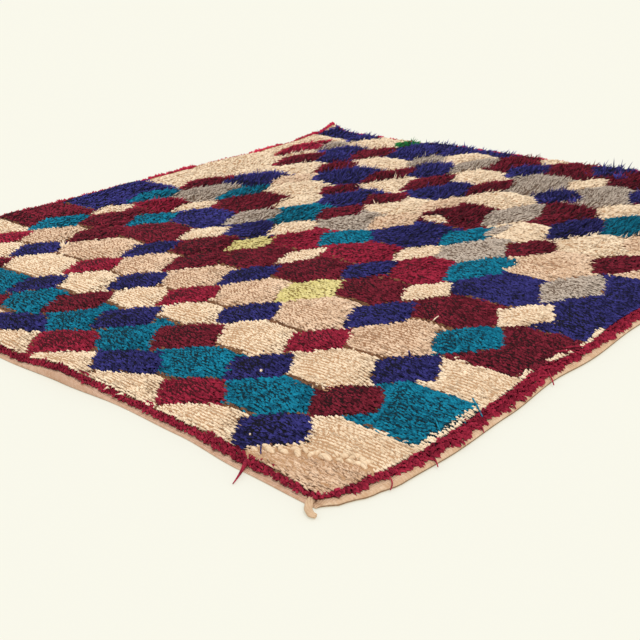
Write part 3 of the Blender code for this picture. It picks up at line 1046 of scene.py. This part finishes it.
# tufts that stand up out of the pile: wool, x, y, height and number of locks
tufts = [
    ("navy", 1.598, 0.513, 0.033, 12), ("navy", 1.319, 0.547, 0.027, 8), ("navy", 1.339, 0.499, 0.029, 8),
    ("navy", 0.977, 0.676, 0.027, 8), ("grey", 1.434, 1.056, 0.027, 4), ("grey", 1.450, 0.688, 0.029, 4),
    ("cream", 1.152, 1.541, 0.026, 6), ("cream", 1.135, 1.548, 0.024, 5), ("cream", 0.412, 1.240, 0.026, 6),
    ("maroon", 0.560, 1.290, 0.026, 6), ("maroon", 1.060, 1.400, 0.028, 7),
]


tuftShape = {
    "lean": (0.10, 0.35),
    "tops": (0.72, 1.0),
    # how far each lock's foot lies out along the lean, and then its bend and its end beyond the foot
    "footOut": 0.8,
    "bendOut": 0.4,
    "endOut": 1.2,
    "footHeight": 0.012,
    "bendShare": 0.65,
    "radii": (0.0036, 0.0032, 0.0007),
}


def courseOfTufts(wanted):
    courses = []
    thickFoot, thickBend, thickEnd = tuftShape["radii"]
    for wool, x, y, height, count in tufts:
        for turn in (np.linspace(0, 2 * math.pi, count, endpoint=False) if wool == wanted else []):
            lean = np.array([math.cos(turn), math.sin(turn)]) * dice.uniform(*tuftShape["lean"]) * height
            top = height * dice.uniform(*tuftShape["tops"])
            foot = np.array([x, y]) + lean * tuftShape["footOut"]
            bend, end = (foot + tuftShape[share] * lean for share in ("bendOut", "endOut"))
            courses.append([(*foot, tuftShape["footHeight"], thickFoot),
                            (*bend, tuftShape["bendShare"] * top, thickBend), (*end, top, thickEnd)])
    return courses


spinning = {
    "points": 12,
    "rounding": np.array([1.0, 2.0, 3.0, 2.0, 1.0]) / 9.0,
    "aboveFloor": 0.0002,  # every yarn stays at least so far above the floor
    "tone": 0.3,
    "curlTone": 1.2,
}


def smoothed(course, count):
    # the course with its corners rounded off
    course = np.array(course)
    steps = np.linspace(0, len(course) - 1, count)
    columns = []
    for values in course.T:
        padded = np.pad(np.interp(steps, np.arange(len(course)), values), 2, mode="edge")
        columns.append(np.convolve(padded, spinning["rounding"], mode="valid"))
    return np.stack(columns, 1)


def spin(name, courses):
    # round yarns along their courses of x, y, z and radius, joined as one piece
    bpy.ops.object.select_all(action="DESELECT")
    threads = []
    for course in courses:
        curve = bpy.data.curves.new(name, "CURVE")
        curve.dimensions = "3D"
        curve.bevel_depth = 1.0
        curve.bevel_resolution = 2
        curve.use_fill_caps = True
        line = curve.splines.new("POLY")
        line.points.add(len(course) - 1)
        for point, (x, y, z, radius) in zip(line.points, course.tolist()):
            height = max(z, radius + spinning["aboveFloor"])
            point.co = (x + loom["origin"][0], y + loom["origin"][1], height, 1.0)
            point.radius = radius
        thread = bpy.data.objects.new(name, curve)
        bpy.context.scene.collection.objects.link(thread)
        thread.select_set(True)
        threads.append(thread)
    bpy.context.view_layer.objects.active = threads[0]
    bpy.ops.object.convert(target="MESH")
    bpy.ops.object.join()
    bpy.ops.object.shade_smooth()
    piece = bpy.context.object
    bpy.ops.object.select_all(action="DESELECT")
    return piece


def growYarns():
    wanted = {name: (wool, [np.array(course) / 10000 for course in courses])
              for name, (wool, courses) in yarns.items()}
    wanted["corner_curls"] = ("cream", courseOfCurls())
    for wool in ("navy", "grey", "cream", "maroon"):
        wanted["tufts_" + wool] = (wool, courseOfTufts(wool))
    for name, (wool, courses) in wanted.items():
        piece = spin(name, [smoothed(course, spinning["points"]) for course in courses])
        tone = spinning["curlTone" if name == "corner_curls" else "tone"]
        for attribute, value in (("tone", tone), ("rise", 1.0)):
            setFloats(piece.data, attribute, np.full(len(piece.data.vertices), value))
        dress(piece, lockWools[wool])
        seat(piece, "rug")
    print("loose yarns", sum(len(courses) for wool, courses in wanted.values()))


growYarns()


# the cloth under the pile: hems at the warp ends, selvedges at the sides, and the backs of the knots

ground = {
    "pitch": 0.0110,
    "belowTips": 0.0022,  # how far the bed of the pile lies below the tips
    "runOn": 0.011,  # how far the section of an edge takes to reach the bed
    "crimsonSide": 0.0135,
    "crimsonFrom": 0.125,  # at the left side the crimson begins beyond this far up
    "bandLap": 0.0030,
    "bareSide": 0.0125,
    "rim": 0.0004,
    # section of each edge: inset, underside and top
    "hem": [(0.0000, 0.0020, 0.0038), (0.0014, 0.0008, 0.0058), (0.0040, 0.0000, 0.0073),
            (0.0085, 0.0000, 0.0079), (0.0135, 0.0000, 0.0074), (0.0165, 0.0000, 0.0070),
            (0.0195, 0.0000, 0.0080)],
    "selvedge": [(0.0000, 0.0006, 0.0018), (0.0010, 0.0001, 0.0028), (0.0030, 0.0000, 0.0034),
                 (0.0060, 0.0000, 0.0034), (0.0090, 0.0000, 0.0034), (0.0115, 0.0000, 0.0056)],
    "hemColour": wool(216, 190, 164),
    # the rim's colour is painted shadow where the hem meets the floor
    "rimShadow": wool(150, 126, 104),
    "selvedgeColour": wool(214, 184, 164),
}


def edgeStations(section, size):
    near = [row[0] for row in section]
    inner = near[-1] + ground["runOn"]
    count = round((size - 2 * inner) / ground["pitch"])
    even = np.linspace(inner, size - inner, count + 1)
    return np.concatenate([near, even, size - np.array(near[::-1])])


def sectionHeight(section, inset, column, bed):
    # the height of the edge's section, running on into the bed of the pile
    insets = np.array([row[0] for row in section])
    heights = np.array([row[column] for row in section])
    share = ((inset - insets[-1]) / ground["runOn"]).clip(0.0, 1.0)
    edgeHeight = np.interp(inset, insets, heights)
    return edgeHeight + (bed - edgeHeight) * share


def makeGround():
    acrossAt = edgeStations(ground["selvedge"], loom["width"])
    upAt = edgeStations(ground["hem"], loom["length"])
    bpy.ops.mesh.primitive_grid_add(x_subdivisions=len(acrossAt) - 1, y_subdivisions=len(upAt) - 1,
                                    size=2.0)
    cloth = bpy.context.object
    cloth.name = "woven_ground"
    thickness = cloth.modifiers.new("thickness", "SOLIDIFY")
    thickness.thickness = 1.0
    thickness.offset = -1.0
    bpy.ops.object.modifier_apply(modifier=thickness.name)
    mesh = cloth.data
    spots = readMesh(mesh.vertices, "co", 3)
    column = np.rint((spots[:, 0] + 1) / 2 * (len(acrossAt) - 1)).astype(int)
    row = np.rint((spots[:, 1] + 1) / 2 * (len(upAt) - 1)).astype(int)
    isTop = spots[:, 2] > -0.5
    x, y = acrossAt[column], upAt[row]
    side, end = fromEdges(x, y)
    laidX, laidY = layOut(x, y)
    bed = pileTop(laidX, laidY) - ground["belowTips"]
    top = np.minimum(sectionHeight(ground["selvedge"], side, 2, bed),
                     sectionHeight(ground["hem"], end, 2, bed))
    under = np.maximum(sectionHeight(ground["selvedge"], side, 1, 0.0),
                       sectionHeight(ground["hem"], end, 1, 0.0))
    atRim = (side < 1e-6) | (end < 1e-6)
    raised = np.where(atRim, lift(x, y, 3), lift(x, y, 2))
    height = np.where(isTop, top, under) + raised
    mesh.vertices.foreach_set("co", toFrame(laidX, laidY, height).astype(np.float32).ravel())
    mesh.update()

    # each face shows the wool of the knots there, or bare warp and weft at the edges; the top faces, seen
    # between the locks, get the roots' colour as painted shade
    facing, middle = (readMesh(mesh.polygons, name, 3) for name in ("normal", "center"))
    starts, totals = (readMesh(mesh.polygons, name, 1, np.int32) for name in ("loop_start", "loop_total"))
    corners = readMesh(mesh.loops, "vertex_index", 1, np.int32)
    faceX = np.add.reduceat(x[corners], starts) / totals
    faceY = np.add.reduceat(y[corners], starts) / totals
    faceSide, faceEnd = fromEdges(faceX, faceY)
    wools = cellsAt(middle[:, 0] - loom["origin"][0], middle[:, 1] - loom["origin"][1])[0]
    besideBand = (faceX > 0.5 * loom["width"]) | (faceY > ground["crimsonFrom"])
    besideBand &= faceSide < ground["crimsonSide"]
    outer, inner = bandEdge(faceX, faceY, 1), bandEdge(faceX, faceY, 2)
    inBand = besideBand | (faceEnd < inner - ground["bandLap"])
    wools = np.where(inBand, woolNames.index("crimson"), wools)
    lightOnes = np.array([woolColours[name][0] for name in woolNames])
    rootShadeOnes = np.array([woolColours[name][2] for name in woolNames])
    # top faces get painted shade, the undersides the knots' own colour
    colours = np.where((facing[:, 2] > 0)[:, None], rootShadeOnes[wools], lightOnes[wools])
    colours = np.where((faceEnd < 0.5 * (outer + inner))[:, None], ground["hemColour"], colours)
    # painted shadow on the outer wall of the hem, where it meets the floor
    colours = np.where((faceEnd < ground["rim"])[:, None], ground["rimShadow"], colours)
    bareSide = (faceSide < ground["bareSide"]) & (faceEnd > 0.5 * (outer + inner))
    colours = np.where(bareSide[:, None], ground["selvedgeColour"], colours)
    knots = mesh.color_attributes.new("knots", "FLOAT_COLOR", "CORNER")
    knots.data.foreach_set("color", np.repeat(colours, totals, axis=0).astype(np.float32).ravel())
    mesh.shade_smooth()
    return cloth


weave = {
    # direction, scale and distortion of the ribs and of the picks
    "bands": [("X", 62.0, 2.5), ("Y", 90.0, 2.0)],
    # scale and detail of the fuzz, the stains and the lumps
    "noises": [(240.0, 3.0), (30.0, 3.0), (110.0, 1.0)],
    "waveDetail": 2.0,
    "waveDetailScale": 1.5,
    # by how much ribs, picks, fuzz and lumps add to the height, and ribs, fuzz, lumps and stains to the
    # shade: where ribs, fuzz and lumps lie low the cloth gets painted shade, and the stains darken it as
    # real stains
    "heights": (0.4, 0.3, 0.5, 1.5),
    "shades": (0.15, 0.5, 0.7, 0.5),
    "shadeFrom": 0.5,
    # the colour of the painted shade in the grooves and of the stains
    "stainsAndShade": wool(206, 182, 158),
    "bump": (0.8, 0.0016),
}


def makeWeave():
    # plain weave: ribs of weft over the warp, with a fuzz of wool
    material, tree, shader = newMaterial("wovenWool")
    knots = makeNode(tree, "ShaderNodeAttribute", {"attribute_name": "knots"}, out=0)
    spot = makeNode(tree, "ShaderNodeTexCoord", out=3)
    threads = []
    for direction, scale, distortion in weave["bands"]:
        sockets = {"Vector": spot, "Scale": scale, "Distortion": distortion,
                   "Detail": weave["waveDetail"], "Detail Scale": weave["waveDetailScale"]}
        settings = {"wave_type": "BANDS", "bands_direction": direction}
        threads.append(makeNode(tree, "ShaderNodeTexWave", settings, sockets, out=1))
    ribs, picks = threads
    fuzz, stain, lumps = (noise(tree, spot, *size) for size in weave["noises"])
    height = weighed((ribs, picks, fuzz, lumps), weave["heights"])
    shade = weighed((ribs, fuzz, lumps, stain), weave["shades"]) - weave["shadeFrom"]
    # painted shade in the grooves of the weave, and real stains
    stainsAndShade = mixColour(tree, 1.0, knots, weave["stainsAndShade"], "MULTIPLY")
    paint(tree, shader, mixColour(tree, shade, stainsAndShade, knots), height, *weave["bump"])
    return material


cloth = makeGround()
dress(cloth, makeWeave())
seat(cloth, "rug")
print("woven_ground", len(cloth.data.polygons), "faces")


# the corner tassel: warp ends twisted together

tassel = {
    # x, y, z and the radius of one end
    "course": [(0.010, 0.066, 0.0040, 0.0020), (-0.004, 0.058, 0.0056, 0.0022),
               (-0.013, 0.054, 0.0064, 0.0025), (-0.021, 0.048, 0.0054, 0.0026),
               (-0.0265, 0.041, 0.0046, 0.0026), (-0.029, 0.034, 0.0042, 0.0024),
               (-0.027, 0.028, 0.0038, 0.0013)],
    "points": 26,
    "ends": 5,
    "spread": 0.0034,
    "taper": 0.3,
    "flatness": 0.5,
    "turns": 0.7,
}


def makeTassel():
    middle = smoothed(tassel["course"], tassel["points"])
    ahead = np.gradient(middle[:, :3], axis=0)
    across = np.cross(ahead, (0, 0, 1))
    across /= np.linalg.norm(across, axis=1)[:, None]
    crown = np.cross(across, ahead)
    crown /= np.linalg.norm(crown, axis=1)[:, None]
    share = np.linspace(0, 1, len(middle))
    courses = []
    for end in range(tassel["ends"]):
        turn = 2 * math.pi * (end / tassel["ends"] + tassel["turns"] * share)
        spread = tassel["spread"] * (1.0 - tassel["taper"] * share)
        course = middle.copy()
        course[:, :3] += across * (np.cos(turn) * spread)[:, None]
        course[:, :3] += crown * (np.sin(turn) * spread * tassel["flatness"])[:, None]
        courses.append(course)
    return spin("tassel_warps", courses)


warpWool = {
    "dark": wool(168, 136, 108),
    "light": wool(214, 184, 152),
    "noises": [(420.0, 3.0), (90.0, 2.0)],  # scale and detail of the fuzz and of slower stains
    "shades": (0.6, 0.5),
    "bump": (0.6, 0.001),
}


def makeWarpWool():
    material, tree, shader = newMaterial("warpWool")
    spot = makeNode(tree, "ShaderNodeTexCoord", out=3)
    fuzz, drift = (noise(tree, spot, *size) for size in warpWool["noises"])
    share = weighed((fuzz, drift), warpWool["shades"])
    colour = mixColour(tree, share, warpWool["dark"], warpWool["light"])
    paint(tree, shader, colour, fuzz, *warpWool["bump"])
    return material


warps = makeTassel()
dress(warps, makeWarpWool())
seat(warps, "corner_tassel")
print("tassel_warps is twisted")


# floor, light and camera

studio = {
    "floorSize": 60.0,
    "floorHeight": -0.0004,
    "backdrop": wool(249, 247, 223),
    "floorAlbedo": 0.35,
    "skyColour": wool(252, 251, 246),
    "floorGlow": 0.49,
    "sky": 1.0,
    "sun": 1.6,
    "sunSoftness": 30.0,
    "sunFrom": (-0.35, -0.75, 1.25),
    "cameraAt": (-1.62162, -1.55208, 0.68),
    "pitch": 21.392,
    "yaw": 45.237,
    "roll": -3.028,
    "lens": 58.157,
    "sensor": 36.0,
}


def makeStudio():
    bpy.ops.mesh.primitive_plane_add(size=studio["floorSize"], location=(0, 0, studio["floorHeight"]))
    floor = bpy.context.object
    floor.name = "studio_floor"
    paper, tree, shader = newMaterial("paleFloor", roughness=1.0, specular=0.0)
    albedo = studio["floorAlbedo"]
    feed(tree, shader, {"Base Color": (albedo, albedo, albedo, 1.0), "Emission Color": studio["backdrop"],
                        "Emission Strength": studio["floorGlow"]})
    floor.data.materials.append(paper)

    world = bpy.data.worlds.new("studio")
    bpy.context.scene.world = world
    world.use_nodes = True
    sky = world.node_tree.nodes["Background"]
    feed(world.node_tree, sky, {"Color": studio["skyColour"], "Strength": studio["sky"]})

    bpy.ops.object.light_add(type="SUN", location=(0, 0, 3))
    sun = bpy.context.object
    sun.data.energy = studio["sun"]
    sun.data.angle = math.radians(studio["sunSoftness"])
    sun.rotation_euler = Vector(studio["sunFrom"]).to_track_quat("Z", "Y").to_euler()

    bpy.ops.object.camera_add(location=studio["cameraAt"])
    camera = bpy.context.object
    aim = Euler((math.radians(90 - studio["pitch"]), 0, math.radians(-studio["yaw"]))).to_matrix()
    camera.rotation_euler = (aim @ Matrix.Rotation(math.radians(studio["roll"]), 3, "Z")).to_euler()
    camera.data.lens = studio["lens"]
    camera.data.sensor_width = studio["sensor"]
    bpy.context.scene.camera = camera
    bpy.context.scene.view_settings.view_transform = "Standard"


makeStudio()
print("studio is set")
